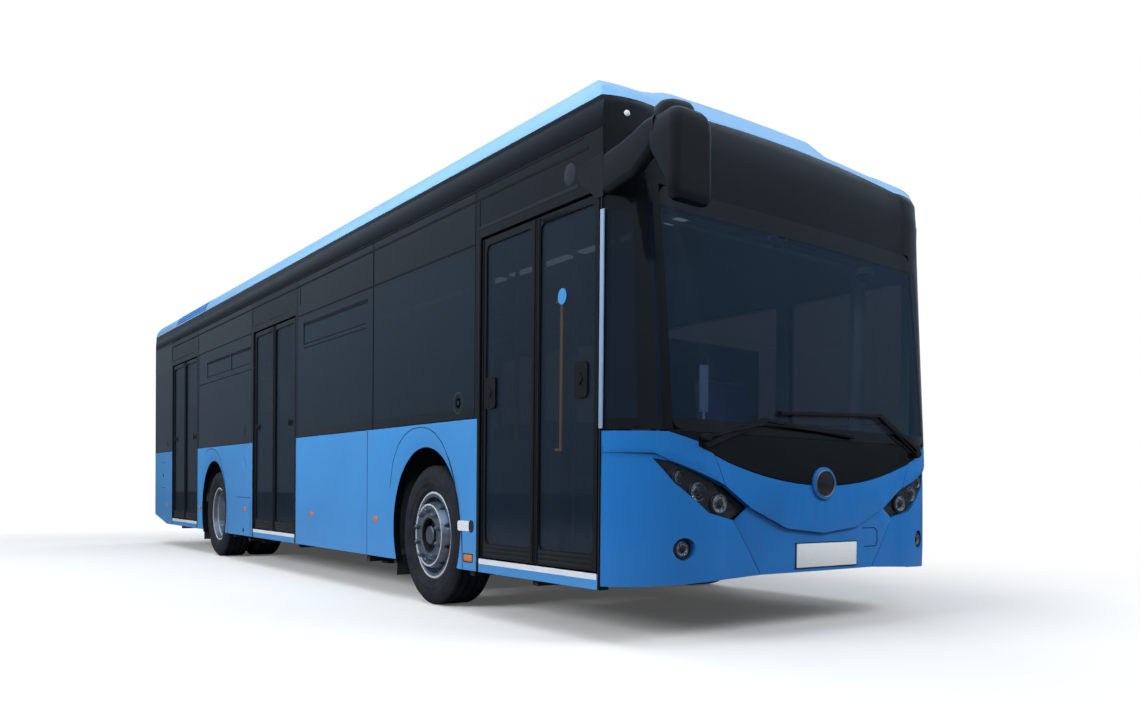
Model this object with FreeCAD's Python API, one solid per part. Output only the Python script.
"""City bus with three double doors: body shell, glazing, doors, running gear and interior.

X points forward, Y to the left and Z up, in millimetres. Stations along X are measured from the
front axle while the pieces are made. Each piece is then placed so that the origin lies on the
ground under the middle of the whole length. The doors are on the right side, towards minus Y.
"""
import FreeCAD
import Part
import math
import os

Vector = FreeCAD.Vector

# Whole vehicle
wheelbase = 5805.0
front_overhang = 2556.0
rear_overhang = 3395.0
mirror_reach = 239.0
body_width = 2550.0
tyre_radius = 476.0
skirt_z = 285.0
floor_z = 355.0
sill_z = 368.0
belt_z = 1230.0
groove_z = 2645.0
border_z = 2785.0
roof_z = 2990.0
equipment_z = 3150.0
cut_overrun = 100.0
seat_gap = 0.3
same_point = 0.03
panel_gap = 5.0

# Body shell
wall_thickness = 60.0
shell_thickness = 45.0
roof_thickness = 45.0
glass_thickness = 8.0
front_seam_setback = 364.0
rear_seam_setback = 250.0
rear_corner_radius = 230.0
rear_lean = 120.0
tail_bevel_length = 950.0
tail_bevel_rise = 140.0
roof_front_setback = 856.0
roof_edge_inset = 14.0
roof_shoulder_inset = 155.0
roof_shoulder_mid_drop = 62.0
roof_shoulder_mid_inset = 53.0
border_crown = 80.0
window_bottom_z = 1290.0
window_top_z = 2287.0
window_pillar = 70.0
window_radius = 60.0
glass_top_z = 2630.0
pane_gap = 10.0
rear_pane_seams = (-1595.0, 105.0, 1805.0)
front_pane_seams = (-2400.0, -800.0, 900.0)

# Nose sections: height, nose, half width where the corner starts, its setback, corner end
corner_end_setback = 386.0
bumper_bottom_z = 300.0
bumper_belly_z = 450.0
emblem_z = 850.0
mask_top_z = 1100.0
screen_top_z = 2385.0
brow_z = 2880.0
dome_z = 2950.0
nose_bottom_setback = 8.0
nose_emblem_setback = 9.0
nose_mask_setback = 26.0
nose_screen_setback = 211.0
nose_groove_setback = 246.0
nose_border_setback = 276.0
nose_brow_setback = 341.0
nose_dome_setback = 446.0
nose_roof_setback = 656.0
corner_inset = 575.0
corner_screen_inset = 325.0
corner_top_inset = 275.0
corner_dome_inset = 375.0
corner_roof_inset = 475.0
corner_setback = 15.0
corner_setback_top = 30.0
corner_setback_dome = 50.0
corner_run = 60.0
corner_bulge_share = 0.70

# Front panels, in half widths and heights
crease_step = 25.0
bumper_edge_z = 345.0
smile_inset = 395.0
smile_end_z = 1024.0
smile_mid_z = 841.0
cowl_top_z = 1108.0
cowl_shoulder_inset = 385.0
cowl_shoulder_z = 1052.0
mask_shoulder_inset = 235.0
flap_top_inset = 475.0
flap_waist_inset = 547.0
flap_waist_z = 831.0
lamp_tip_inset = 716.0
lamp_tip_z = 714.0
lamp_low_inset = 622.0
lamp_low_z = 646.0
lamp_belly_inset = 455.0
lamp_belly_z = 685.0
lamp_side_inset = 270.0
lamp_side_z = 838.0
lamp_outer_inset = 177.0
lamp_outer_z = 962.0
lamp_top_inset = 251.0
lamp_top_z = 949.0
flap_foot_inset = 814.0
flap_skin = 12.0
crease_inset = 985.0
crease_z = 596.0
crease_mid_z = 565.0
crease_side_z = 990.0
lamp_recess = 22.0
lamp_depth = 45.0
beam_side_insets = (304.0, 404.0, 532.0)
beam_z = (868.0, 794.0, 732.0)
beam_radius = (34.0, 50.0, 50.0)
beam_inset = (52.0, 24.0, 6.0)
fog_inset = 321.0
fog_z = 499.0
fog_radius = 58.0
fog_depth = 30.0
fog_setback = 90.0
fog_well_depth = 135.0
fog_well_length = 180.0
beam_length = 90.0
screen_inset = 257.0
pillar_width = 44.0
screen_gap = 0.4

# Doors
door_width = 1340.0
glass_seam_behind = 1773.0
front_door_x = 835.0
middle_door_ahead = 1645.0
rear_door_behind = 2100.0
door_top_z = 2330.0
leaf_side_gap = 18.0
leaf_middle_gap = 10.0
leaf_sill_gap = 10.0
leaf_head_gap = 12.0
leaf_thickness = 36.0
leaf_recess = 12.0
leaf_frame = 42.0
leaf_glass = 8.0
post_beside = 19.0
post_offset = 60.0
post_radius = 15.0
arm_length = 270.0
arm_width = 30.0
arm_eye_radius = 18.0
arm_thickness = 10.0
arm_clearance = 7.0
lug_thickness = 10.5
lug_gap = 0.5
lug_reach = 24.0
lug_height = 52.0
drive_depth = 105.0
drive_clearance = 24.0
drive_height = 240.0
drive_overhang = 17.0

# Wheels and axles
tyre_width = 275.0
tyre_inset = 45.0
twin_spacing = 311.0
rim_radius = 298.5
rim_width = 215.0
rim_barrel = 262.0
disc_thickness = 12.0
hand_hole_radius = 18.0
hand_hole_circle = 240.0
hand_hole_count = 10
hub_radius = 142.0
bolt_plate_base_radius = 258.0
bolt_plate_radius = 216.0
bolt_plate_depth = 108.0
bolt_well_radius = 122.0
bolt_well_depth = 60.0
hub_depth = 62.0
cap_radius = 58.0
cap_length = 100.0
rear_disc_thickness = 48.0
rear_hub_length = 124.0
sleeve_wall = 10.0
tyre_shoulder = 34.0
tyre_bead_gap = 0.3
arch_radius = 552.0
arch_z = 522.0
arch_lip = 75.0
arch_lip_depth = 14.0
kingpin_inset = 370.0
kingpin_radius = 38.0
kingpin_bottom_z = 300.0
kingpin_top_z = 630.0
pin_gap = 0.5
steering_arm = 180.0
steering_arm_width = 44.0
steering_arm_thickness = 18.0
tie_rod_radius = 14.0
tie_eye_radius = 24.0
tie_eye_height = 48.0
spindle_radius = 48.0
beam_half_width = 55.0
beam_bottom_z = 205.0
beam_top_z = 290.0
beam_end_inset = 460.0
fist_width = 50.0
eye_thickness = 40.0
rear_hub_radius = 70.0
rear_carrier = 36.0
rear_beam_inset = 675.0
bellows_radius = 70.0
bellows_offset = 560.0
bellows_inset = 425.0
bellows_bottom_z = 330.0

# Wheel boxes
sheet = 12.0
front_box_half = 600.0
front_box_inset = 700.0
rear_box_half = 660.0
rear_box_inset = 695.0
box_top_z = 1120.0
podium_top_z = 620.0
rear_box_mid = 540.0

# Frame under the floor
front_jack_behind = 1200.0
rear_jack_ahead = 1250.0
frame_front_setback = 286.0
frame_rear_setback = 400.0
bumper_beam_low = 385.0
bumper_beam_high = 485.0
bumper_beam_inset = 845.0
cross_member_count = 3
rail_inset = 795.0
rail_width = 70.0
rail_bottom_z = 225.0
floor_thickness = 50.0
tail_deck_z = 980.0
tail_deck_behind = 2330.0
outrigger_width = 60.0
jack_size = 140.0
jack_thickness = 20.0
jack_inset = 255.0
tow_width = 120.0
tow_length = 150.0
tow_pin_radius = 16.0

# Inside
seat_width = 900.0
driver_seat_width = 450.0
seat_depth = 430.0
seat_height = 440.0
seat_pad = 60.0
seat_back = 620.0
seat_foot = 120.0
seat_nose = 24.0
seat_rake = 90.0
seat_back_thickness = 48.0
seat_crown = 18.0
seat_heel = 36.0
seat_heel_drop = 42.0
seat_pitch = 720.0
tail_seat_rows = (1895.0, 1175.0)
left_seat_ahead = 1105.0
right_seat_ahead = 905.0
door_seat_ahead = 280.0
front_seat_behind = 1100.0
box_seat_width = 495.0
box_seat_height = 190.0
bench_seat_height = 300.0
bench_setback = 150.0
driver_x = 900.0
driver_inset = 655.0
driver_floor_z = 560.0
cab_inset = 945.0
cab_front_setback = 436.0
cab_rear_setback = 300.0
cab_wall_thickness = 30.0
cab_back_height = 1380.0
cab_gate_height = 690.0
dash_setback = 180.0
dash_reach = 96.0
dash_depth = 180.0
dash_leg_share = 0.7
binnacle_length = 300.0
binnacle_top = 120.0
wheel_centre_x = 1650.0
wheel_tilt = 60.0
wheel_lift = 30.0
spoke_radius = 12.8
column_radius = 32.0
motor_length = 560.0
motor_height = 520.0
flap_width = 440.0
flap_bottom_z = 160.0
rail_top_z = 2200.0
front_poles = (560.0, -635.0)
pole_after_middle = 70.0
pole_before_middle = 70.0
pole_after_rear = 75.0
pole_before_rear = 25.0
rail_radius = 17.0
aisle_inset = 1013.0
wheel_rim_radius = 225.0
wheel_grip_radius = 16.0

# Mirror and wipers
mirror_depth = 240.0
mirror_width = 245.0
mirror_low_z = 2160.0
mirror_high_z = 2605.0
mirror_radius = 60.0
mirror_crown = 110.0
mirror_arm_width = 66.0
mirror_profile = ((0.0, 2160.0), (0.0, 2560.0), (50.0, 2605.0), (180.0, 2605.0), (235.0, 2560.0),
                  (240.0, 2480.0), (155.0, 2350.0), (80.0, 2240.0), (60.0, 2160.0))
mirror_arm_profile = ((381.0, 2290.0), (381.0, 2515.0), (206.0, 2556.0), (-4.0, 2596.0), (-74.0, 2590.0),
                      (-74.0, 2450.0), (206.0, 2358.0))
lobe_rise = 85.0
lobe_inset = 25.0
lobe_depth = 120.0
wiper_stand_off = 16.0
wiper_width = 26.0
wiper_thickness = 14.0
blade_width = 18.2
wiper_low_insets = ((415.0, 1035.0), (834.0, 1190.0), (1535.0, 1130.0))
wiper_high_insets = ((2205.0, 1050.0), (1800.0, 1276.0), (945.0, 1236.0))

# Rear lamps and lid
lamp_stack_width = 110.0
lamp_stack_low = 700.0
lamp_stack_high = 1250.0
lamp_stack_depth = 20.0
lamp_stack_gap = 20.0
rear_window_inset = 375.0
rear_window_low = 1560.0
rear_window_high = 2420.0
rear_pane_gap = 0.5
lid_inset = 455.0
lid_low = 560.0
lid_high = 1340.0
lid_thickness = 40.0
lid_flange = 25.0

# Roof equipment
unit_side_inset = 375.0
unit_bevel = 90.0
front_unit_start = 300.0
front_unit_end = 1250.0
pack_ahead = 205.0
pack_length = 1700.0
pack_gap = 120.0
pack_count = 3
cooler_setback = 500.0
cooler_behind = 495.0

half_width = body_width / 2.0
rear_end_x = -wheelbase - rear_overhang
rear_axle_x = -wheelbase
rear_seam_x = rear_end_x + rear_seam_setback
middle_door_x = rear_axle_x + middle_door_ahead
rear_door_x = rear_axle_x - rear_door_behind
tail_deck_x = rear_axle_x - tail_deck_behind
pack_start = rear_axle_x + pack_ahead
cooler_start = rear_end_x + cooler_setback
cooler_end = rear_axle_x - cooler_behind
frame_front_x = front_overhang - frame_front_setback
frame_rear_x = rear_end_x + frame_rear_setback
cab_front_x = front_overhang - cab_front_setback
driver_half = half_width - driver_inset
cab_half = half_width - cab_inset
bumper_beam_half = half_width - bumper_beam_inset
beam_half = [half_width - inset for inset in beam_side_insets]
bellows_half = half_width - bellows_inset
kingpin_half = half_width - kingpin_inset
rear_beam_half = half_width - rear_beam_inset
rail_half = half_width - rail_inset
front_box_inner = half_width - front_box_inset
rear_box_inner = half_width - rear_box_inset
jack_half = half_width - jack_inset
beam_half_length = half_width - beam_end_inset
aisle_half = half_width - aisle_inset
roof_shoulder_half = half_width - roof_shoulder_inset
roof_shoulder_mid_half = half_width - roof_shoulder_mid_inset
rear_window_half = half_width - rear_window_inset
lid_half = half_width - lid_inset
unit_half = half_width - unit_side_inset
corner_half = half_width - corner_inset
corner_half_screen = half_width - corner_screen_inset
corner_half_top = half_width - corner_top_inset
corner_half_dome = half_width - corner_dome_inset
corner_half_roof = half_width - corner_roof_inset
screen_half = half_width - screen_inset
smile_half = half_width - smile_inset
cowl_shoulder_half = half_width - cowl_shoulder_inset
mask_shoulder_half = half_width - mask_shoulder_inset
flap_top_half = half_width - flap_top_inset
flap_waist_half = half_width - flap_waist_inset
lamp_tip_half = half_width - lamp_tip_inset
lamp_low_half = half_width - lamp_low_inset
lamp_belly_half = half_width - lamp_belly_inset
lamp_side_half = half_width - lamp_side_inset
lamp_outer_half = half_width - lamp_outer_inset
lamp_top_half = half_width - lamp_top_inset
flap_foot_half = half_width - flap_foot_inset
crease_half = half_width - crease_inset
fog_half = half_width - fog_inset
nose_bottom_x = front_overhang - nose_bottom_setback
nose_emblem_x = front_overhang - nose_emblem_setback
nose_mask_x = front_overhang - nose_mask_setback
nose_screen_x = front_overhang - nose_screen_setback
nose_groove_x = front_overhang - nose_groove_setback
nose_border_x = front_overhang - nose_border_setback
nose_brow_x = front_overhang - nose_brow_setback
nose_dome_x = front_overhang - nose_dome_setback
nose_roof_x = front_overhang - nose_roof_setback
corner_end_x = front_overhang - corner_end_setback
front_seam_x = front_overhang - front_seam_setback
roof_front_x = front_overhang - roof_front_setback
front_tip_x = front_overhang + mirror_reach
rear_tip_x = rear_end_x - lamp_stack_depth
origin_x = (front_tip_x + rear_tip_x) / 2.0
inner_half = half_width - wall_thickness
wheel_half = half_width - tyre_inset - tyre_width / 2.0
door_starts = (front_door_x, middle_door_x, rear_door_x)
door_names = ("front", "middle", "rear")
leaf_width = (door_width - 2.0 * leaf_side_gap - leaf_middle_gap) / 2.0
leaf_mid_half = half_width - leaf_recess - leaf_thickness / 2.0
post_half = leaf_mid_half - post_offset
leaf_low_z = sill_z + leaf_sill_gap
leaf_high_z = door_top_z - leaf_head_gap
lower_arm_z = leaf_low_z - arm_clearance - arm_thickness
upper_arm_z = leaf_high_z + arm_clearance
box_far = 2.0 * wheelbase

os.makedirs("parts", exist_ok=True)


def export(name, shape):
    """Place a finished piece about the origin and write it."""
    placed = shape.copy()
    placed.translate(Vector(-origin_x, 0, 0))
    placed.exportStep("parts/" + name + ".step")
    print(name, len(placed.Solids), "solids", round(placed.Volume / 1e6, 1), "litres")


def box(x0, x1, y0, y1, z0, z1):
    """Box between two corners given in any order."""
    low = Vector(min(x0, x1), min(y0, y1), min(z0, z1))
    return Part.makeBox(abs(x1 - x0), abs(y1 - y0), abs(z1 - z0), low)


def cylinder(base, axis, radius, length):
    """Cylinder from its base centre along an axis."""
    return Part.makeCylinder(radius, length, base, axis)


def fuse(shapes):
    """One shape from several, with flush faces merged."""
    shapes = list(shapes)
    if len(shapes) == 1:
        return shapes[0]
    return shapes[0].multiFuse(shapes[1:]).removeSplitter()


def cut(shape, tools):
    """A shape with several tools taken away."""
    return shape.cut(list(tools))


def mirror_y(shape):
    """The same shape on the other side of the vehicle."""
    return shape.mirror(Vector(0, 0, 0), Vector(0, 1, 0))


def wire(points):
    """Closed wire through points, where a pair of points is an arc's middle and end."""
    edges = []
    first = points[0]
    last = first
    for item in points[1:] + [first]:
        if isinstance(item, tuple):
            edges.append(Part.Arc(last, item[0], item[1]).toShape())
            last = item[1]
        elif (item - last).Length > same_point:
            edges.append(Part.LineSegment(last, item).toShape())
            last = item
    return Part.Wire(edges)


def slab(points, direction):
    """Solid swept from a flat outline along a direction."""
    return Part.Face(wire(points)).extrude(direction)


def across(points, y0, y1):
    """Solid from an outline of X and Z pairs, between two places on Y."""
    def place(pair):
        if isinstance(pair[0], tuple):
            return (place(pair[0]), place(pair[1]))
        return Vector(pair[0], y0, pair[1])
    return slab([place(pair) for pair in points], Vector(0, y1 - y0, 0))


def along(points, x0, x1):
    """Solid from an outline of Y and Z pairs, between two places on X."""
    def place(pair):
        if isinstance(pair[0], tuple):
            return (place(pair[0]), place(pair[1]))
        return Vector(x0, pair[0], pair[1])
    return slab([place(pair) for pair in points], Vector(x1 - x0, 0, 0))


def upright(points, z0, z1):
    """Solid from an outline of X and Y pairs, between two heights."""
    def place(pair):
        if isinstance(pair[0], tuple):
            return (place(pair[0]), place(pair[1]))
        return Vector(pair[0], pair[1], z0)
    return slab([place(pair) for pair in points], Vector(0, 0, z1 - z0))


def rounded(a0, a1, b0, b1, radius):
    """Outline of a rectangle with rounded corners, for across, along or upright."""
    inset = radius * (1.0 - math.sqrt(0.5))
    return [
        (a0 + radius, b0),
        (a1 - radius, b0),
        ((a1 - inset, b0 + inset), (a1, b0 + radius)),
        (a1, b1 - radius),
        ((a1 - inset, b1 - inset), (a1 - radius, b1)),
        (a0 + radius, b1),
        ((a0 + inset, b1 - inset), (a0, b1 - radius)),
        (a0, b0 + radius),
        ((a0 + inset, b0 + inset), (a0 + radius, b0)),
    ]


# The nose of the body is a ruled loft through flat sections, and its panels are cut from it.
nose_sections = (
    (bumper_bottom_z - cut_overrun, nose_bottom_x, corner_half, corner_setback),
    (bumper_belly_z, front_overhang, corner_half, corner_setback),
    (emblem_z, nose_emblem_x, corner_half, corner_setback),
    (mask_top_z, nose_mask_x, corner_half, corner_setback),
    (screen_top_z, nose_screen_x, corner_half_screen, corner_setback_top),
    (groove_z, nose_groove_x, corner_half_top, corner_setback_top),
    (border_z, nose_border_x, corner_half_top, corner_setback_top),
    (brow_z, nose_brow_x, corner_half_screen, corner_setback_top),
    (dome_z, nose_dome_x, corner_half_dome, corner_setback_dome),
    (roof_z, nose_roof_x, corner_half_roof, corner_setback_dome),
)


def nose_outline(z, nose, half, setback, nose_inset, side_inset, drop):
    """One flat section of the nose, drawn from the right rear corner round the front."""
    side = half_width - side_inset
    front = nose - nose_inset
    start = front - setback
    corner_end = min(corner_end_x, start - corner_run)
    flank = half - side_inset
    bulge_x = corner_end + (start - corner_end) * corner_bulge_share
    bulge_y = flank + (side - flank) * corner_bulge_share
    rear = roof_front_x - nose_inset
    level = z - drop
    return wire([
        Vector(rear, -side, level),
        Vector(corner_end, -side, level),
        (Vector(bulge_x, -bulge_y, level), Vector(start, -flank, level)),
        (Vector(front, 0, level), Vector(start, flank, level)),
        (Vector(bulge_x, bulge_y, level), Vector(corner_end, side, level)),
        Vector(rear, side, level),
    ])


def nose_solid(nose_inset, side_inset, top_drop):
    """The nose block behind its skin, moved in by the given insets."""
    outlines = []
    for z, nose, half, setback in nose_sections:
        drop = top_drop if z > border_z else 0.0
        outlines.append(nose_outline(z, nose, half, setback, nose_inset, side_inset, drop))
    return Part.makeLoft(outlines, True, True)


def roof_profile(inset, x0, x1):
    """Block under the roof skin, with its rounded shoulders."""
    top = roof_z - inset
    side = half_width - inset
    shoulder = border_z - inset / 2.0
    low = skirt_z - cut_overrun * 2.0
    edge = side - roof_edge_inset
    inner = roof_shoulder_half - inset
    middle = (roof_shoulder_mid_half - inset, top - roof_shoulder_mid_drop)
    return along([
        (-side, low),
        (side, low),
        (side, groove_z),
        (edge, shoulder),
        ((middle[0], middle[1]), (inner, top)),
        (-inner, top),
        ((-middle[0], middle[1]), (-edge, shoulder)),
        (-side, groove_z),
    ], x0, x1)


def plan_block(inset, x_front, z0, z1):
    """Block of the body's plan behind a station, with rounded rear corners."""
    side = half_width - inset
    rear = rear_end_x + inset
    radius = rear_corner_radius - inset / 2.0
    sway = radius * (1.0 - math.sqrt(0.5))
    return upright([
        (x_front, -side),
        (x_front, side),
        (rear + radius, side),
        ((rear + sway, side - sway), (rear, side - radius)),
        (rear, radius - side),
        ((rear + sway, sway - side), (rear + radius, -side)),
    ], z0, z1)


def tail_block(inset):
    """Block of the body seen from the side, with the leaning rear face and the bevelled tail."""
    x_front = roof_front_x
    rear = rear_end_x + inset
    low_x = rear_end_x + tail_bevel_length
    slope = tail_bevel_rise / tail_bevel_length
    tail_z = skirt_z + tail_bevel_rise
    lean_top = rear + rear_lean
    return across([
        (x_front, skirt_z),
        (low_x, skirt_z),
        (rear, tail_z - inset * slope),
        (rear, belt_z),
        (lean_top, groove_z),
        (lean_top + rear_lean, roof_z - inset),
        (x_front, roof_z - inset),
    ], -half_width - cut_overrun, half_width + cut_overrun)


def panel_zone(points):
    """Prism through the nose from an outline of half widths and heights on one side."""
    return along(points, front_seam_x - cut_overrun, front_tip_x)


outer_nose = nose_solid(0, 0, 0).common(roof_profile(0, roof_front_x - cut_overrun, front_tip_x))
inner_roof = roof_profile(roof_thickness, roof_front_x - cut_overrun * 2.0, front_tip_x)
inner_nose = nose_solid(shell_thickness, shell_thickness, roof_thickness).common(inner_roof)
low_outer = nose_solid(crease_step, 0, 0)
low_inner = nose_solid(shell_thickness + crease_step, shell_thickness, roof_thickness)
glass_inner = nose_solid(glass_thickness, glass_thickness, 0)
front_half_space = box(front_seam_x, front_tip_x, -box_far, box_far, 0, box_far)
upper_skin = outer_nose.cut(inner_nose).common(front_half_space)
lower_skin = low_outer.cut(low_inner).common(front_half_space)
glass_skin = outer_nose.cut(glass_inner).common(front_half_space)

smile_radius = (smile_half ** 2 + (smile_end_z - smile_mid_z) ** 2) / (2.0 * (smile_end_z - smile_mid_z))


def smile_z(y):
    """Height of the curved edge under the cowl at a place across the nose."""
    return smile_mid_z + smile_radius - math.sqrt(smile_radius ** 2 - y ** 2)


def flap_outline(gap):
    """Outline of the front flap, smaller than its opening by the gap."""
    top_half = flap_top_half - gap
    top_z = smile_z(top_half) - gap
    right = [
        (-top_half, top_z),
        (-(flap_waist_half - gap), flap_waist_z - gap / 2.0),
        (-(lamp_tip_half - gap), lamp_tip_z),
        (-(lamp_low_half - gap), lamp_low_z - gap),
        (-(flap_foot_half - gap), bumper_edge_z),
    ]
    left = [(-y, z) for y, z in reversed(right)]
    return right + left + [((0, smile_mid_z - gap), right[0])]


def below_crease():
    """Zone under the crease line, where the nose steps back."""
    right = [
        (-half_width - cut_overrun, crease_side_z),
        (-lamp_outer_half, crease_side_z - seat_gap),
        (-lamp_top_half, lamp_top_z),
        (-flap_waist_half, flap_waist_z),
        (-lamp_tip_half, lamp_tip_z),
        (-crease_half, crease_z),
        (0, crease_mid_z),
    ]
    left = [(-y, z) for y, z in reversed(right[:-1])]
    floor = [(half_width + cut_overrun, 0), (-half_width - cut_overrun, 0)]
    return panel_zone(right + left + floor)


def lamp_outline(gap):
    """Outline of the right headlamp, smaller than its opening by the gap."""
    return [
        (-lamp_outer_half + gap, lamp_outer_z - gap),
        (-lamp_top_half, lamp_top_z - gap),
        (-flap_waist_half, flap_waist_z - gap),
        (-lamp_tip_half - gap, lamp_tip_z - gap),
        (-lamp_low_half, lamp_low_z + gap),
        (-lamp_belly_half, lamp_belly_z + gap),
        (-lamp_side_half + gap, lamp_side_z),
    ]


crease_zone = below_crease()
nose_skin = fuse([upper_skin.cut(crease_zone), lower_skin.common(crease_zone)])


def make_front_mask():
    """Blue corner panels of the front, with the step under the crease and the fog lamp wells."""
    zone = panel_zone([
        (-half_width - cut_overrun, bumper_bottom_z),
        (-flap_foot_half, bumper_edge_z),
        (0, bumper_edge_z),
        (0, smile_mid_z),
        (-smile_half / 2.0, smile_z(smile_half / 2.0)),
        (-smile_half, smile_end_z),
        (-cowl_shoulder_half, cowl_shoulder_z),
        (-mask_shoulder_half, mask_top_z),
        (-half_width - cut_overrun, mask_top_z),
    ])
    flap_hole = panel_zone([
        (0, mask_top_z),
        (-flap_top_half, mask_top_z),
        (-flap_top_half, smile_z(flap_top_half)),
        (-flap_waist_half, flap_waist_z),
        (-lamp_tip_half, lamp_tip_z),
        (-lamp_low_half, lamp_low_z),
        (-flap_foot_half, bumper_edge_z),
        (-flap_foot_half, 0),
        (0, 0),
    ])
    smile_cut = cylinder(Vector(0, 0, smile_mid_z + smile_radius), Vector(1, 0, 0), smile_radius, box_far)
    keep = box(0, box_far, -cowl_shoulder_half, 0, 0, cowl_top_z)
    fog_start = Vector(nose_bottom_x - fog_well_depth, -fog_half, fog_z)
    fog = cylinder(fog_start, Vector(1, 0, 0), fog_radius, fog_well_length)
    right = nose_skin.common(zone)
    right = cut(right, [flap_hole, panel_zone(lamp_outline(0)), smile_cut.common(keep), fog])
    return Part.makeCompound([right, mirror_y(right)])


def make_front_flap():
    """Blue panel in the middle of the front, which lifts about its top edge."""
    raised = crease_zone.translated(Vector(0, 0, flap_skin))
    above = nose_solid(flap_skin, 0, 0).cut(raised)
    below = nose_solid(crease_step + flap_skin, 0, 0).common(raised)
    return nose_skin.common(panel_zone(flap_outline(panel_gap))).cut(fuse([above, below]))


def make_cowl_panel():
    """Black panel between the curved edge and the windscreen."""
    points = [
        (-smile_half, smile_end_z),
        (-cowl_shoulder_half, cowl_shoulder_z),
        (-mask_shoulder_half, mask_top_z),
        (-mask_shoulder_half, cowl_top_z),
        (mask_shoulder_half, cowl_top_z),
        (mask_shoulder_half, mask_top_z),
        (cowl_shoulder_half, cowl_shoulder_z),
        (smile_half, smile_end_z),
        ((0, smile_mid_z), (-smile_half, smile_end_z)),
    ]
    return upper_skin.common(panel_zone(points))


def make_front_frame():
    """Windscreen pillars and the header over the windscreen in one piece."""
    crown = border_z + border_crown
    header = [
        (-half_width - cut_overrun, screen_top_z),
        (half_width + cut_overrun, screen_top_z),
        (half_width + cut_overrun, border_z),
        (half_width, border_z),
        ((0, crown), (-half_width, border_z)),
        (-half_width - cut_overrun, border_z),
    ]
    pieces = [upper_skin.common(panel_zone(header))]
    for side in (-1.0, 1.0):
        inner = side * (screen_half + screen_gap)
        outer = side * (screen_half + screen_gap + pillar_width)
        zone = box(front_seam_x, front_tip_x, inner, outer, cowl_top_z, screen_top_z)
        pieces.append(upper_skin.common(zone))
    return fuse(pieces)


def make_front_glass():
    """Windscreen and the curved corner panes beside it."""
    low = cowl_top_z + screen_gap
    high = screen_top_z - screen_gap
    outline = rounded(-screen_half, screen_half, low, high, window_radius)
    panes = [glass_skin.common(panel_zone(outline))]
    inner = screen_half + 2.0 * screen_gap + pillar_width
    corner = box(front_seam_x + screen_gap, front_tip_x, -inner, -box_far, low, high)
    right = glass_skin.common(corner)
    return Part.makeCompound(panes + [right, mirror_y(right)])


def make_headlamps():
    """Dark lamp housings with three round lamps each, and the fog lamps."""
    recessed = nose_solid(crease_step + lamp_recess, 0, 0)
    back = nose_solid(crease_step + lamp_recess + lamp_depth, 0, 0)
    housing = recessed.cut(back).common(panel_zone(lamp_outline(panel_gap / 2.0)))
    pieces = [housing]
    for half, z, radius, inset in zip(beam_half, beam_z, beam_radius, beam_inset):
        face = nose_emblem_x - corner_setback - inset - crease_step
        pieces.append(cylinder(Vector(face - beam_length, -half, z), Vector(1, 0, 0), radius, beam_length))
    right = fuse(pieces)
    fog_face = nose_bottom_x - crease_step - fog_setback
    fog = cylinder(Vector(fog_face, -fog_half, fog_z), Vector(1, 0, 0), fog_radius - seat_gap, fog_depth)
    return Part.makeCompound([right, mirror_y(right), fog, mirror_y(fog)])


def make_roof():
    """Roof skin from the tail to the brow, with the rounded shoulders."""
    low = groove_z + panel_gap
    long_outer = roof_profile(0, rear_end_x - cut_overrun, roof_front_x)
    long_outer = long_outer.common(plan_block(0, roof_front_x, 0, box_far)).common(tail_block(0))
    long_inner = roof_profile(roof_thickness, rear_end_x - cut_overrun, roof_front_x)
    long_inner = long_inner.common(plan_block(roof_thickness, roof_front_x, 0, box_far))
    long_inner = long_inner.common(tail_block(roof_thickness))
    above = box(-box_far, box_far, -box_far, box_far, low, box_far)
    rear = long_outer.cut(long_inner).common(above)
    front = outer_nose.cut(inner_nose).common(above)
    front = front.common(box(roof_front_x, box_far, -box_far, box_far, 0, box_far))
    crown = border_z + border_crown
    header = panel_zone([
        (-half_width - cut_overrun, 0),
        (half_width + cut_overrun, 0),
        (half_width + cut_overrun, border_z),
        (half_width, border_z),
        ((0, crown), (-half_width, border_z)),
        (-half_width - cut_overrun, border_z),
    ])
    header = header.common(front_half_space)
    return fuse([rear, front.cut(header)])


def door_zone(start, grow):
    """Opening of one door in the side wall, larger by the given amount."""
    return box(start - grow, start + door_width + grow, -half_width - cut_overrun,
               -inner_half + cut_overrun,
               sill_z, door_top_z + grow)


def arch_cut(x, side):
    """Wheel opening with its bevelled lip, on one side."""
    axis = Vector(0, -side, 0)
    start = Vector(x, side * (half_width + cut_overrun), arch_z)
    hole = cylinder(start, axis, arch_radius, wall_thickness + cut_overrun * 2.0)
    lip = Part.makeCone(arch_radius + arch_lip, arch_radius, arch_lip_depth,
                        Vector(x, side * half_width, arch_z), axis)
    return fuse([hole, lip])


def wall_blank(side):
    """Flat side wall without openings."""
    low_x = rear_end_x + tail_bevel_length
    slope = tail_bevel_rise / tail_bevel_length
    seam_z = skirt_z + (low_x - rear_seam_x) * slope
    outline = [
        (rear_seam_x, seam_z),
        (low_x, skirt_z),
        (front_seam_x, skirt_z),
        (front_seam_x, groove_z),
        (rear_seam_x, groove_z),
    ]
    return across(outline, side * half_width, side * inner_half)


glass_seam_x = front_door_x - glass_seam_behind
right_bays = (
    (rear_seam_x + pane_gap, rear_door_x - window_pillar),
    (rear_door_x + door_width + window_pillar, middle_door_x - window_pillar),
    (middle_door_x + door_width + window_pillar, glass_seam_x),
    (glass_seam_x + pane_gap, front_door_x - window_pillar),
)
left_seams = [rear_seam_x]
left_seams += [rear_axle_x + ahead for ahead in rear_pane_seams]
left_seams += list(front_pane_seams)
left_seams.append(front_seam_x - pane_gap)
left_bays = [(start + pane_gap, end) for start, end in zip(left_seams[:-1], left_seams[1:])]


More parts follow.
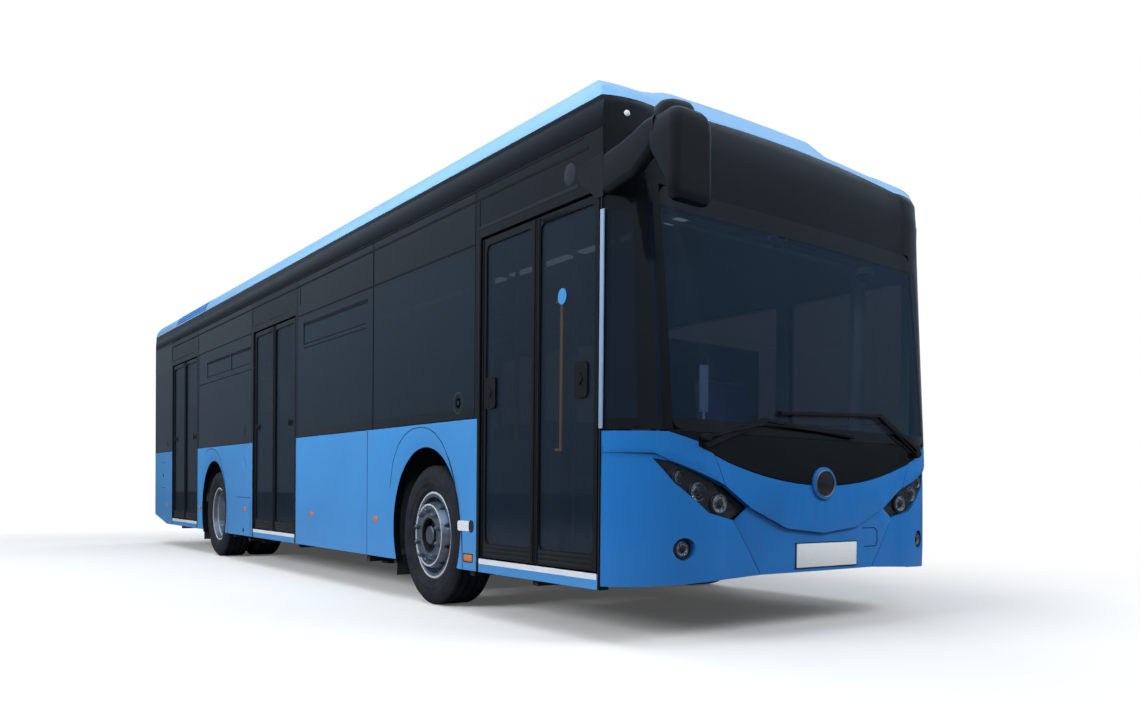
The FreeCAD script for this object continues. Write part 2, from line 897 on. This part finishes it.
def side_wall(side, bays, doors):
    """One side wall with its windows, doors and wheel arches cut."""
    tools = [arch_cut(0, side), arch_cut(rear_axle_x, side)]
    for start, end in bays:
        hole = rounded(start + window_pillar, end - window_pillar, window_bottom_z, window_top_z,
                       window_radius)
        tools.append(across(hole, side * (half_width + cut_overrun), side * (inner_half - cut_overrun)))
        band = glass_thickness + seat_gap
        tools.append(box(start, end, side * (half_width + cut_overrun), side * (half_width - band),
                         belt_z, glass_top_z))
    for start in doors:
        tools.append(door_zone(start, 0))
    return cut(wall_blank(side), tools)


def pane(start, end, side):
    """One bonded pane over its window opening."""
    grown = panel_gap
    return box(start + grown, end - grown, side * half_width, side * (half_width - glass_thickness),
               belt_z + grown, glass_top_z - grown)


def make_side_glass():
    """Bonded panes of both sides."""
    panes = [pane(start, end, -1.0) for start, end in right_bays]
    panes += [pane(start, end, 1.0) for start, end in left_bays]
    return Part.makeCompound(panes)


def make_rear_wall():
    """Rear wall round both corners, with the window and the lid opening cut."""
    outer = plan_block(0, rear_seam_x, 0, groove_z).common(tail_block(0))
    inner = plan_block(wall_thickness, rear_seam_x + cut_overrun, 0, groove_z + cut_overrun)
    inner = inner.common(across([
        (rear_seam_x + cut_overrun, 0),
        (rear_end_x + wall_thickness, 0),
        (rear_end_x + wall_thickness, belt_z),
        (rear_end_x + wall_thickness + rear_lean, groove_z),
        (rear_end_x + wall_thickness + rear_lean, groove_z + 2.0 * cut_overrun),
        (rear_seam_x + cut_overrun, groove_z + 2.0 * cut_overrun),
    ], -half_width, half_width))
    shell = outer.cut(inner)
    window = along(rounded(-rear_window_half, rear_window_half, rear_window_low, rear_window_high,
                           window_radius),
                   rear_end_x - cut_overrun, rear_seam_x)
    lid = along(rounded(-lid_half, lid_half, lid_low, lid_high, window_radius), rear_end_x - cut_overrun,
                rear_seam_x)
    flange = along(rounded(-lid_half - panel_gap, lid_half + panel_gap, lid_low - panel_gap,
                           lid_high + panel_gap,
                           window_radius), rear_end_x, rear_seam_x)
    hole = along(rounded(-lid_half + lid_flange, lid_half - lid_flange, lid_low + lid_flange,
                         lid_high - lid_flange,
                         window_radius), rear_end_x - cut_overrun, rear_seam_x)
    behind = tail_block(lid_thickness + seat_gap).cut(tail_block(wall_thickness))
    return fuse([cut(shell, [window, lid]), flange.common(behind).cut(hole)])


def make_rear_glass():
    """Rear window pane, seated in its opening."""
    outline = rounded(-rear_window_half + rear_pane_gap, rear_window_half - rear_pane_gap,
                      rear_window_low + rear_pane_gap, rear_window_high - rear_pane_gap, window_radius)
    prism = along(outline, rear_end_x - cut_overrun, rear_seam_x)
    outer = tail_block(0)
    return prism.common(outer).cut(tail_block(glass_thickness))


def make_rear_lid():
    """Rear service lid, hinged at its top edge."""
    outline = rounded(-lid_half + panel_gap, lid_half - panel_gap, lid_low + panel_gap,
                      lid_high - panel_gap,
                      window_radius)
    prism = along(outline, rear_end_x - cut_overrun, rear_seam_x)
    outer = tail_block(0)
    return prism.common(outer).cut(tail_block(lid_thickness))


def make_floor():
    """Low floor along the cabin, the tail bulkhead and the deck over the drive."""
    bottom = floor_z - floor_thickness
    front = corner_end_x
    pieces = [box(tail_deck_x, front, -inner_half, inner_half, bottom, floor_z)]
    tail_front = tail_deck_x
    pieces.append(box(tail_front - sheet, tail_front, -inner_half, inner_half, bottom, tail_deck_z))
    rear = rear_end_x + wall_thickness + rear_corner_radius
    pieces.append(box(rear, tail_front, -inner_half, inner_half, tail_deck_z - sheet, tail_deck_z))
    slab_shape = fuse(pieces)
    wells = []
    for side in (-1.0, 1.0):
        wells.append(box(-front_box_half, front_box_half, side * front_box_inner, side * half_width, 0,
                         floor_z))
        wells.append(box(rear_axle_x - rear_box_half, rear_axle_x + rear_box_half,
                         side * rear_box_inner, side * half_width, 0, floor_z))
    return cut(slab_shape, wells)


def make_wheel_boxes():
    """Sheet boxes over the wheels, inside the cabin."""
    boxes = []
    for side in (-1.0, 1.0):
        outer = box(-front_box_half, front_box_half, side * front_box_inner, side * inner_half,
                    floor_z, box_top_z)
        inner = box(-front_box_half + sheet, front_box_half - sheet, side * (front_box_inner + sheet),
                    side * (inner_half + cut_overrun), floor_z - cut_overrun, box_top_z - sheet)
        boxes.append(outer.cut(inner))
        x0 = rear_axle_x - rear_box_half
        x1 = rear_axle_x + rear_box_half
        high = box(rear_axle_x - rear_box_mid, rear_axle_x + rear_box_mid, side * rear_box_inner,
                   side * inner_half, floor_z, box_top_z)
        low = box(x0, x1, side * rear_box_inner, side * inner_half, floor_z, podium_top_z)
        high_in = box(rear_axle_x - rear_box_mid + sheet, rear_axle_x + rear_box_mid - sheet,
                      side * (rear_box_inner + sheet), side * (inner_half + cut_overrun),
                      floor_z - cut_overrun, box_top_z - sheet)
        low_in = box(x0 + sheet, x1 - sheet, side * (rear_box_inner + sheet),
                     side * (inner_half + cut_overrun), floor_z - cut_overrun, podium_top_z - sheet)
        boxes.append(cut(fuse([high, low]), [high_in, low_in]))
    return Part.makeCompound(boxes)


def make_chassis_frame():
    """Rails under the floor with cross members, outriggers, jacking pads and the front tow jaw."""
    top = floor_z - floor_thickness
    pieces = []
    openings_at = ((frame_rear_x, rear_axle_x - rear_box_half),
                   (rear_axle_x + rear_box_half, -front_box_half), (front_box_half, frame_front_x))
    for start, end in openings_at:
        for side in (-1.0, 1.0):
            near = side * rail_half
            pieces.append(box(start, end, near, near + side * rail_width, rail_bottom_z, top))
        for index in range(cross_member_count):
            x = start + (end - start - outrigger_width) * index / (cross_member_count - 1)
            reach = inner_half
            if x < tail_deck_x or x > corner_end_x:
                reach = rail_half + rail_width
            pieces.append(box(x, x + outrigger_width, -reach, reach, rail_bottom_z + jack_thickness, top))
    for x in (-front_jack_behind, rear_axle_x + rear_jack_ahead):
        pieces.append(box(x, x + outrigger_width, -inner_half, inner_half, rail_bottom_z, top))
        for side in (-1.0, 1.0):
            pieces.append(box(x - (jack_size - outrigger_width) / 2.0,
                              x + (jack_size + outrigger_width) / 2.0,
                              side * (jack_half - jack_size / 2.0), side * (jack_half + jack_size / 2.0),
                              rail_bottom_z - jack_thickness, rail_bottom_z))
    for start, end in ((-front_box_half - seat_gap, front_box_half + seat_gap),
                       (rear_axle_x - rear_box_half, rear_axle_x + rear_box_half)):
        for side in (-1.0, 1.0):
            near = side * rail_half
            pieces.append(box(start, end, near, near + side * rail_width, beam_top_z + panel_gap, top))
    jaw_x = frame_front_x - outrigger_width
    jaw = box(jaw_x, frame_front_x + tow_length, -tow_width / 2.0, tow_width / 2.0, top, bumper_beam_low)
    beam_zone = box(frame_front_x - outrigger_width, front_tip_x, -bumper_beam_half, bumper_beam_half,
                    bumper_beam_low,
                    bumper_beam_high)
    behind_flap = nose_solid(crease_step + flap_skin + seat_gap, shell_thickness, roof_thickness)
    pieces.append(beam_zone.common(behind_flap))
    for side in (-1.0, 1.0):
        near = side * (bumper_beam_half - rail_width)
        pieces.append(box(frame_front_x - outrigger_width, frame_front_x, near, side * bumper_beam_half,
                          rail_bottom_z,
                          bumper_beam_high))
    pin = cylinder(Vector(frame_front_x + tow_length / 2.0, 0, 0), Vector(0, 0, 1), tow_pin_radius, box_far)
    return cut(fuse(pieces + [jaw]), [pin])


def make_front_axle():
    """Dropped axle beam with its seats under the rails and an eye above and below each kingpin."""
    pieces = [box(-beam_half_width, beam_half_width, -beam_half_length, beam_half_length, beam_bottom_z,
                  beam_top_z)]
    for side in (-1.0, 1.0):
        pieces.append(box(-beam_half_width, beam_half_width, side * rail_half,
                          side * (rail_half + rail_width), beam_top_z,
                          beam_top_z + panel_gap - seat_gap))
        inner = side * (beam_half_length - fist_width)
        outer = side * beam_half_length
        top = kingpin_top_z + pin_gap + eye_thickness
        pieces.append(box(-beam_half_width, beam_half_width, inner, outer, beam_bottom_z, top))
        for low in (kingpin_bottom_z - pin_gap - eye_thickness, kingpin_top_z + pin_gap):
            pieces.append(box(-kingpin_radius, kingpin_radius, inner, side * kingpin_half, low,
                              low + eye_thickness))
            pieces.append(cylinder(Vector(0, side * kingpin_half, low), Vector(0, 0, 1),
                                   kingpin_radius + panel_gap,
                                   eye_thickness))
    return fuse(pieces)


def make_knuckle(side):
    """Steering knuckle: kingpin barrel, wheel spindle and steering arm."""
    centre = Vector(0, side * kingpin_half, kingpin_bottom_z)
    barrel = cylinder(centre, Vector(0, 0, 1), kingpin_radius, kingpin_top_z - kingpin_bottom_z)
    start = Vector(0, side * kingpin_half, tyre_radius)
    spindle = cylinder(start, Vector(0, side, 0), spindle_radius, spindle_end - kingpin_half)
    arm = box(-steering_arm, 0, side * kingpin_half - steering_arm_width / 2.0,
              side * kingpin_half + steering_arm_width / 2.0, kingpin_bottom_z,
              kingpin_bottom_z + steering_arm_thickness)
    boss = cylinder(Vector(-steering_arm, side * kingpin_half, kingpin_bottom_z), Vector(0, 0, 1),
                    tie_eye_radius,
                    steering_arm_thickness)
    return fuse([barrel, spindle, arm, boss])


def make_tie_rod():
    """Tie rod under the floor with an eye under each steering arm."""
    top = kingpin_bottom_z - pin_gap
    middle = top - tie_eye_height / 2.0
    rod = cylinder(Vector(-steering_arm, -kingpin_half, middle), Vector(0, 1, 0), tie_rod_radius,
                   2.0 * kingpin_half)
    eyes = [cylinder(Vector(-steering_arm, side * kingpin_half, top - tie_eye_height), Vector(0, 0, 1),
                     tie_eye_radius, tie_eye_height) for side in (-1.0, 1.0)]
    return fuse([rod] + eyes)


disc_half = wheel_half + rim_width / 2.0 - hub_depth - disc_thickness
spindle_end = disc_half - seat_gap
rear_disc_half = wheel_half - twin_spacing / 2.0 - disc_thickness / 2.0


def tyre_shape(x, y):
    """Tyre with rounded shoulders about a wheel centre."""
    half = tyre_width / 2.0
    bead = rim_radius + tyre_bead_gap
    tread = half - tyre_shoulder
    sway = tyre_shoulder * (1.0 - math.sqrt(0.5))
    middle = (bead + tyre_radius) / 2.0
    narrow = rim_width / 2.0
    def at(radius, offset):
        return Vector(x + radius, y + offset, tyre_radius)
    outline = [
        at(bead, -narrow),
        at(middle, -half),
        at(tyre_radius - tyre_shoulder, -half + sway / 2.0),
        at(tyre_radius, -tread),
        at(tyre_radius, tread),
        at(tyre_radius - tyre_shoulder, half - sway / 2.0),
        at(middle, half),
        at(bead, narrow),
    ]
    return Part.Face(wire(outline)).revolve(Vector(x, y, tyre_radius), Vector(0, 1, 0), 360)


def rim_barrel_shape(x, y):
    """Rim barrel with its two lips about a wheel centre."""
    half = rim_width / 2.0
    centre = Vector(x, y - half, tyre_radius)
    outer = cylinder(centre, Vector(0, 1, 0), rim_radius, rim_width)
    bore = cylinder(centre - Vector(0, cut_overrun, 0), Vector(0, 1, 0), rim_barrel,
                    rim_width + 2.0 * cut_overrun)
    return outer.cut(bore)


def hand_holes(x, low, high, circle, radius, count):
    """Ring of round holes through a wheel disc."""
    holes = []
    for index in range(count):
        angle = math.radians(360.0 * (index + 0.5) / count)
        centre = Vector(x + circle * math.cos(angle), low, tyre_radius + circle * math.sin(angle))
        holes.append(cylinder(centre, Vector(0, 1, 0), radius, high - low))
    return holes


def make_front_rim(side):
    """Front rim: barrel, disc that rises to the bolting plate, hand holes and the cap in its well."""
    y = side * wheel_half
    axis = Vector(0, side, 0)
    barrel = rim_barrel_shape(0, y)
    face = side * disc_half
    disc = cylinder(Vector(0, face, tyre_radius), axis, rim_barrel + panel_gap, disc_thickness)
    drum = Part.makeCone(bolt_plate_base_radius, bolt_plate_radius, bolt_plate_depth,
                         Vector(0, face, tyre_radius), axis)
    well_face = face + side * (bolt_plate_depth - bolt_well_depth)
    well = cylinder(Vector(0, well_face, tyre_radius), axis, bolt_well_radius, bolt_plate_depth)
    low = min(face, face + side * bolt_plate_depth) - panel_gap
    high = low + bolt_plate_depth + 2.0 * panel_gap
    holes = hand_holes(0, low, high, hand_hole_circle, hand_hole_radius, hand_hole_count)
    cap = cylinder(Vector(0, face, tyre_radius), axis, cap_radius, cap_length)
    return fuse([barrel, cut(fuse([disc, drum]), holes + [well]), cap])


def make_rear_rims(side):
    """Pair of rear rims with their deep discs and the hub end."""
    axis = Vector(0, side, 0)
    outer_y = side * wheel_half
    inner_y = side * (wheel_half - twin_spacing)
    face = side * rear_disc_half
    low = min(face, face + side * rear_disc_thickness) - panel_gap
    high = low + rear_disc_thickness + 2.0 * panel_gap
    disc = cylinder(Vector(rear_axle_x, face, tyre_radius), axis, rim_barrel + panel_gap,
                    rear_disc_thickness)
    disc = cut(disc, hand_holes(rear_axle_x, low, high, hand_hole_circle, hand_hole_radius,
                                hand_hole_count))
    hub = cylinder(Vector(rear_axle_x, face, tyre_radius), axis, hub_radius, rear_hub_length)
    barrels = [rim_barrel_shape(rear_axle_x, outer_y), rim_barrel_shape(rear_axle_x, inner_y)]
    tube_low = min(outer_y, inner_y) + rim_width / 2.0 - panel_gap
    sleeve = cylinder(Vector(rear_axle_x, tube_low, tyre_radius), Vector(0, 1, 0), rim_barrel + sleeve_wall,
                      twin_spacing - rim_width + 2.0 * panel_gap)
    bore = cylinder(Vector(rear_axle_x, tube_low - cut_overrun, tyre_radius), Vector(0, 1, 0), rim_barrel,
                    twin_spacing + 2.0 * cut_overrun)
    return fuse(barrels + [sleeve.cut(bore), disc, hub])


def make_rear_axle():
    """Portal axle under the floor with carriers, hubs and the arms to the air springs."""
    x = rear_axle_x
    pieces = [box(x - beam_half_width, x + beam_half_width, -rear_beam_half, rear_beam_half,
                  beam_bottom_z, beam_top_z)]
    for side in (-1.0, 1.0):
        inner = side * (rear_beam_half - rear_carrier)
        pieces.append(box(x - beam_half_width, x + beam_half_width, side * rear_beam_half,
                          side * (rear_beam_half + rear_carrier),
                          beam_bottom_z, tyre_radius + rear_hub_radius))
        hub = cylinder(Vector(x, side * (rear_beam_half + rear_carrier), tyre_radius), Vector(0, side, 0),
                       rear_hub_radius,
                       rear_disc_half - rear_beam_half - rear_carrier - seat_gap)
        pieces.append(hub)
        pieces.append(box(x - bellows_offset, x + bellows_offset, inner - side * rear_carrier, inner,
                          beam_bottom_z, beam_bottom_z + outrigger_width))
        for end in (-1.0, 1.0):
            plate_x = x + end * bellows_offset
            pieces.append(box(plate_x - bellows_radius / 2.0, plate_x + bellows_radius / 2.0,
                              inner - side * rear_carrier,
                              side * (bellows_half + bellows_radius), beam_bottom_z,
                              beam_bottom_z + outrigger_width))
            pieces.append(cylinder(Vector(plate_x, side * bellows_half, beam_bottom_z), Vector(0, 0, 1),
                                   bellows_radius, bellows_bottom_z - beam_bottom_z))
    return fuse(pieces)


def make_air_springs():
    """Rolling air bellows between the rear axle arms and the podiums."""
    springs = []
    for side in (-1.0, 1.0):
        for end in (-1.0, 1.0):
            centre = Vector(rear_axle_x + end * bellows_offset, side * bellows_half, bellows_bottom_z)
            springs.append(cylinder(centre, Vector(0, 0, 1), bellows_radius,
                                    podium_top_z - sheet - bellows_bottom_z))
    return Part.makeCompound(springs)


def leaf_frame_shape(x0, x1):
    """Frame and glass of one door leaf."""
    outer_y = -(half_width - leaf_recess)
    inner_y = outer_y + leaf_thickness
    low = leaf_low_z
    high = leaf_high_z
    frame = box(x0, x1, outer_y, inner_y, low, high)
    opening = rounded(x0 + leaf_frame, x1 - leaf_frame, low + leaf_frame * 2.0, high - leaf_frame,
                      leaf_frame)
    frame = frame.cut(across(opening, outer_y - cut_overrun, inner_y + cut_overrun))
    inset = seat_gap
    glazing = rounded(x0 + leaf_frame + inset, x1 - leaf_frame - inset, low + leaf_frame * 2.0 + inset,
                      high - leaf_frame - inset, leaf_frame - inset)
    glass = across(glazing, outer_y + leaf_glass, outer_y + 2.0 * leaf_glass)
    return frame, glass


def make_leaf(start, front):
    """Door leaf of a door that starts at a station, hung above its lower arm and under its upper one."""
    x0 = start + leaf_side_gap
    pivot_x = start - post_beside + arm_length
    if front:
        x0 = start + door_width - leaf_side_gap - leaf_width
        pivot_x = start + door_width + post_beside - arm_length
    frame, glass = leaf_frame_shape(x0, x0 + leaf_width)
    inner_y = -(half_width - leaf_recess) + leaf_thickness
    plate_y = inner_y + lug_reach - leaf_glass
    pieces = [frame]
    for edge_z, arm_z, inward in ((leaf_low_z, lower_arm_z + arm_thickness + lug_gap, 1.0),
                                  (leaf_high_z, upper_arm_z - lug_gap, -1.0)):
        plate_z = arm_z + inward * lug_thickness
        pieces.append(box(pivot_x - arm_width / 2.0, pivot_x + arm_width / 2.0, plate_y, -post_half,
                          arm_z, plate_z))
        pieces.append(cylinder(Vector(pivot_x, -post_half, min(arm_z, plate_z)), Vector(0, 0, 1),
                               arm_eye_radius,
                               lug_thickness))
        pieces.append(box(pivot_x - arm_width, pivot_x + arm_width, inner_y - leaf_glass,
                          inner_y + lug_reach, edge_z,
                          edge_z + inward * lug_height))
    body = fuse(pieces)
    return Part.makeCompound([body, glass.cut(body)])


def make_post(start, front):
    """Turning door post with an arm below its leaf and one above it."""
    x = start - post_beside
    reach = arm_length
    if front:
        x = start + door_width + post_beside
        reach = -arm_length
    top = leaf_high_z + drive_clearance - 2.0 * pin_gap
    post = cylinder(Vector(x, -post_half, floor_z + pin_gap), Vector(0, 0, 1), post_radius, top - floor_z)
    pieces = [post]
    for arm_z in (lower_arm_z, upper_arm_z):
        pieces.append(box(x, x + reach, -post_half - arm_width / 2.0, -post_half + arm_width / 2.0, arm_z,
                          arm_z + arm_thickness))
        for end in (x, x + reach):
            pieces.append(cylinder(Vector(end, -post_half, arm_z), Vector(0, 0, 1), arm_eye_radius,
                                   arm_thickness))
    return fuse(pieces)


def make_door_drives():
    """Covers of the door drives over the doors, inside the wall."""
    low = leaf_high_z + drive_clearance
    covers = []
    for start in door_starts:
        covers.append(box(start - drive_overhang, start + door_width + drive_overhang, -inner_half,
                          -inner_half + drive_depth, low, low + drive_height))
    return Part.makeCompound(covers)


def seat(x, y0, y1, floor_level, height):
    """Double seat facing forward, standing on its foot."""
    top = floor_level + height
    shell = across([
        (x, top - seat_pad),
        (x + seat_depth, top - seat_pad),
        (x + seat_depth, top + seat_nose),
        (x + seat_pad, top),
        (x - seat_rake, top + seat_back),
        (x - seat_rake - seat_back_thickness, top + seat_back - seat_crown),
        (x - seat_heel, top - seat_heel_drop),
    ], y0, y1)
    middle = (y0 + y1) / 2.0
    foot = box(x + seat_foot, x + 2.0 * seat_foot, middle - seat_foot, middle + seat_foot, floor_level,
               top - seat_pad)
    return fuse([shell, foot])


def seat_row(first, last):
    """Stations of the double seats from the first one on, as many as fit before the last one."""
    count = int((last - first + seat_gap) / seat_pitch) + 1
    return [first + seat_pitch * index for index in range(count)]


left_seat_rows = [rear_axle_x - behind for behind in tail_seat_rows]
left_seat_rows += seat_row(rear_axle_x + left_seat_ahead, -front_seat_behind)
right_seat_rows = [rear_axle_x + right_seat_ahead]
right_seat_rows += seat_row(middle_door_x + door_width + door_seat_ahead, -front_seat_behind)


def make_passenger_seats():
    """Double seats along both sides, over the wheels and on the tail deck."""
    near = inner_half - seat_pad / 2.0
    far = near - seat_width
    seats = [seat(x, far, near, floor_z, seat_height) for x in left_seat_rows]
    seats += [seat(x, -near, -far, floor_z, seat_height) for x in right_seat_rows]
    box_far_side = near - box_seat_width
    for side in (-1.0, 1.0):
        lo = min(side * near, side * box_far_side)
        hi = max(side * near, side * box_far_side)
        seats.append(seat(rear_axle_x - seat_depth / 2.0, lo, hi, box_top_z, box_seat_height))
    bench_x = rear_end_x + wall_thickness + rear_corner_radius + bench_setback
    seats.append(seat(bench_x, -near + rear_corner_radius, near - rear_corner_radius, tail_deck_z,
                      bench_seat_height))
    return Part.makeCompound(seats)


def make_cab_partition():
    """Raised cab floor, the partition behind the driver and the low cab door beside the aisle."""
    rear = driver_x - cab_rear_setback
    aisle = cab_half - seat_pad
    platform = box(rear, cab_front_x, aisle, inner_half, floor_z, driver_floor_z)
    back = box(rear, rear + cab_wall_thickness, aisle, inner_half, driver_floor_z,
               driver_floor_z + cab_back_height)
    gate = box(rear + cab_wall_thickness, cab_front_x - cab_half, aisle, aisle + cab_wall_thickness,
               driver_floor_z,
               driver_floor_z + cab_gate_height)
    return fuse([platform, back, gate])


def make_driver_seat():
    """Driver seat with head rest on its column."""
    half = driver_seat_width / 2.0
    return seat(driver_x + seat_pad, driver_half - half, driver_half + half, driver_floor_z, seat_height)


def make_dashboard():
    """Dashboard across the nose under the windscreen, with the driver binnacle."""
    front = front_overhang - dash_setback
    rear = cab_front_x + dash_reach
    top = mask_top_z - seat_pad
    deck = across([
        (rear, top - dash_depth),
        (front, top - dash_depth),
        (front, top),
        (rear, top - seat_pad / 2.0),
    ], seat_pad - corner_half, corner_half + dash_depth)
    binnacle = across([
        (rear - binnacle_length, top - binnacle_length),
        (rear, top - binnacle_length),
        (rear, top + seat_pad),
        (rear - binnacle_top, top + seat_pad),
    ], cab_half, inner_half - dash_depth)
    leg_half = corner_half * dash_leg_share
    leg = box(cab_front_x + panel_gap, frame_front_x - outrigger_width - seat_gap, -leg_half, leg_half,
              floor_z,
              top - dash_depth)
    return fuse([deck, binnacle, leg])


def make_steering_wheel():
    """Steering wheel with spokes on its column."""
    rad = math.radians(wheel_tilt)
    axis = Vector(math.cos(rad), 0, -math.sin(rad))
    centre = Vector(wheel_centre_x, driver_half, mask_top_z + wheel_lift)
    rim = Part.makeTorus(wheel_rim_radius, wheel_grip_radius, centre, axis)
    column = cylinder(centre, axis, column_radius, column_length)
    spoke = cylinder(centre - Vector(0, wheel_rim_radius, 0), Vector(0, 1, 0), spoke_radius,
                     2.0 * wheel_rim_radius)
    return fuse([rim, column, spoke])


column_drop = mask_top_z + wheel_lift - driver_floor_z - seat_gap
column_foot = column_radius * math.cos(math.radians(wheel_tilt))
column_length = (column_drop - column_foot) / math.sin(math.radians(wheel_tilt))
pole_stations = list(front_poles)
pole_stations.append(middle_door_x + door_width + pole_after_middle)
pole_stations.append(middle_door_x - pole_before_middle)
pole_stations.append(rear_door_x + door_width + pole_after_rear)
pole_stations.append(rear_door_x - pole_before_rear)


def make_handrails():
    """Grab rails along the ceiling with poles beside the doors."""
    pieces = []
    for side in (-1.0, 1.0):
        y = side * aisle_half
        length = pole_stations[0] - pole_stations[-1]
        pieces.append(cylinder(Vector(pole_stations[-1], y, rail_top_z), Vector(1, 0, 0), rail_radius,
                               length))
        for x in pole_stations:
            top = roof_z - roof_thickness
            low = floor_z
            pieces.append(cylinder(Vector(x, y, low), Vector(0, 0, 1), rail_radius, top - low))
    return fuse(pieces[:len(pieces) // 2]), fuse(pieces[len(pieces) // 2:])


def make_mirror():
    """Mirror head ahead of the right front corner, with its lobe and the deep arm from over the door."""
    rear = front_tip_x - mirror_depth
    right = -half_width
    left = right + mirror_width
    plan = upright(rounded(rear, front_tip_x, right, left, mirror_radius), mirror_low_z, mirror_high_z)
    flank = across([(front_tip_x - setback, z) for setback, z in mirror_profile], right, left)
    face = along([
        (right, mirror_low_z + mirror_radius),
        (right + mirror_radius, mirror_low_z),
        (left - mirror_radius, mirror_low_z),
        (left, mirror_low_z + mirror_crown),
        (left, mirror_high_z - mirror_crown),
        (left - mirror_radius, mirror_high_z - mirror_radius / 2.0),
        (left - mirror_crown, mirror_high_z),
        (right + mirror_radius, mirror_high_z),
        (right, mirror_high_z - mirror_radius),
    ], rear, front_tip_x)
    lobe_high = mirror_high_z + lobe_rise
    lobe = along(rounded(right + lobe_inset, left - lobe_inset, mirror_high_z - mirror_crown, lobe_high,
                         mirror_radius),
                 rear + lobe_inset, rear + lobe_inset + lobe_depth)
    arm = across([(front_overhang - setback, z) for setback, z in mirror_arm_profile], right,
                 right + mirror_arm_width)
    beside = box(roof_front_x, front_seam_x, -half_width - seat_gap, 0, groove_z, skirt_z)
    ahead = nose_solid(-seat_gap, -seat_gap, 0)
    return cut(fuse([plan.common(flank).common(face), lobe, arm]), [beside, ahead])


def make_wipers():
    """Two wipers resting across the foot of the windscreen."""
    blades = []
    reach = front_overhang + wiper_stand_off
    for insets in (wiper_low_insets, wiper_high_insets):
        pivot, bend, tip = [(inset - half_width, z) for inset, z in insets]
        pieces = []
        for start, end, width in ((pivot, bend, wiper_width), (bend, tip, blade_width)):
            length = math.hypot(end[0] - start[0], end[1] - start[1])
            nx = -(end[1] - start[1]) / length * width / 2.0
            nz = (end[0] - start[0]) / length * width / 2.0
            outline = [
                (start[0] + nx, start[1] + nz),
                (end[0] + nx, end[1] + nz),
                (end[0] - nx, end[1] - nz),
                (start[0] - nx, start[1] - nz),
            ]
            pieces.append(along(outline, front_seam_x, reach))
        blade = fuse(pieces)
        shell = nose_solid(-wiper_stand_off - wiper_thickness, 0, 0).cut(nose_solid(-seat_gap, 0, 0))
        blades.append(blade.common(shell))
    return Part.makeCompound(blades)


def make_roof_equipment():
    """Climate unit, energy packs and the rear cooler on the roof."""
    spans = [(front_unit_start, front_unit_end), (cooler_start, cooler_end)]
    for index in range(pack_count):
        start = pack_start + index * (pack_length + pack_gap)
        spans.append((start, start + pack_length))
    units = []
    for start, end in spans:
        units.append(along([
            (-unit_half, roof_z),
            (unit_half, roof_z),
            (unit_half - unit_bevel, equipment_z),
            (unit_bevel - unit_half, equipment_z),
        ], start, end))
    return Part.makeCompound(units)


def make_traction_motor():
    """Drive unit under the tail deck, as one plain block."""
    front = tail_deck_x - sheet - seat_pad
    low = floor_z - floor_thickness
    reach = rail_half + rail_width / 2.0
    return box(front - motor_length, front, -reach, reach, low, low + motor_height)


def make_mud_flaps():
    """Rubber flaps behind the wheels."""
    flaps = []
    for x in (-front_box_half, rear_axle_x - rear_box_half):
        for side in (-1.0, 1.0):
            flaps.append(box(x, x + panel_gap, side * (inner_half - flap_width), side * inner_half,
                             flap_bottom_z,
                             floor_z - floor_thickness))
    return Part.makeCompound(flaps)


def make_rear_lamps():
    """Upright lamp stacks on the rear wall beside the lid."""
    stacks = []
    for side in (-1.0, 1.0):
        stack = box(rear_end_x - cut_overrun, rear_seam_x, side * (lid_half + lamp_stack_gap),
                    side * (lid_half + lamp_stack_gap + lamp_stack_width), lamp_stack_low, lamp_stack_high)
        outer = tail_block(-lamp_stack_depth)
        stacks.append(stack.common(outer).cut(tail_block(-seat_gap)))
    return Part.makeCompound(stacks)


export("front_mask", make_front_mask())
export("front_flap", make_front_flap())
export("cowl_panel", make_cowl_panel())
export("front_frame", make_front_frame())
export("front_glass", make_front_glass())
export("headlamps", make_headlamps())
export("roof", make_roof())
export("side_wall_right", side_wall(-1.0, right_bays, door_starts))
export("side_wall_left", side_wall(1.0, left_bays, ()))
export("side_glass", make_side_glass())
export("rear_wall", make_rear_wall())
export("rear_glass", make_rear_glass())
export("rear_lid", make_rear_lid())
export("rear_lamps", make_rear_lamps())
export("floor", make_floor())
export("wheel_boxes", make_wheel_boxes())
export("chassis_frame", make_chassis_frame())
export("front_axle", make_front_axle())
export("knuckle_left", make_knuckle(1.0))
export("knuckle_right", make_knuckle(-1.0))
export("tie_rod", make_tie_rod())
export("rear_axle", make_rear_axle())
export("air_springs", make_air_springs())
for side_name, side_sign in (("left", 1.0), ("right", -1.0)):
    export("front_tyre_" + side_name, tyre_shape(0, side_sign * wheel_half))
    export("front_rim_" + side_name, make_front_rim(side_sign))
    twins = [tyre_shape(rear_axle_x, side_sign * wheel_half),
             tyre_shape(rear_axle_x, side_sign * (wheel_half - twin_spacing))]
    export("rear_tyres_" + side_name, Part.makeCompound(twins))
    export("rear_rims_" + side_name, make_rear_rims(side_sign))
for door_name, door_start in zip(door_names, door_starts):
    for end_name, is_front in (("rear", False), ("front", True)):
        export(door_name + "_door_" + end_name + "_leaf", make_leaf(door_start, is_front))
        export(door_name + "_door_" + end_name + "_post", make_post(door_start, is_front))
export("door_drives", make_door_drives())
export("passenger_seats", make_passenger_seats())
export("cab_partition", make_cab_partition())
export("driver_seat", make_driver_seat())
export("dashboard", make_dashboard())
export("steering_wheel", make_steering_wheel())
export("handrails", Part.makeCompound(make_handrails()))
export("mirror", make_mirror())
export("wipers", make_wipers())
export("roof_equipment", make_roof_equipment())
export("traction_motor", make_traction_motor())
export("mud_flaps", make_mud_flaps())
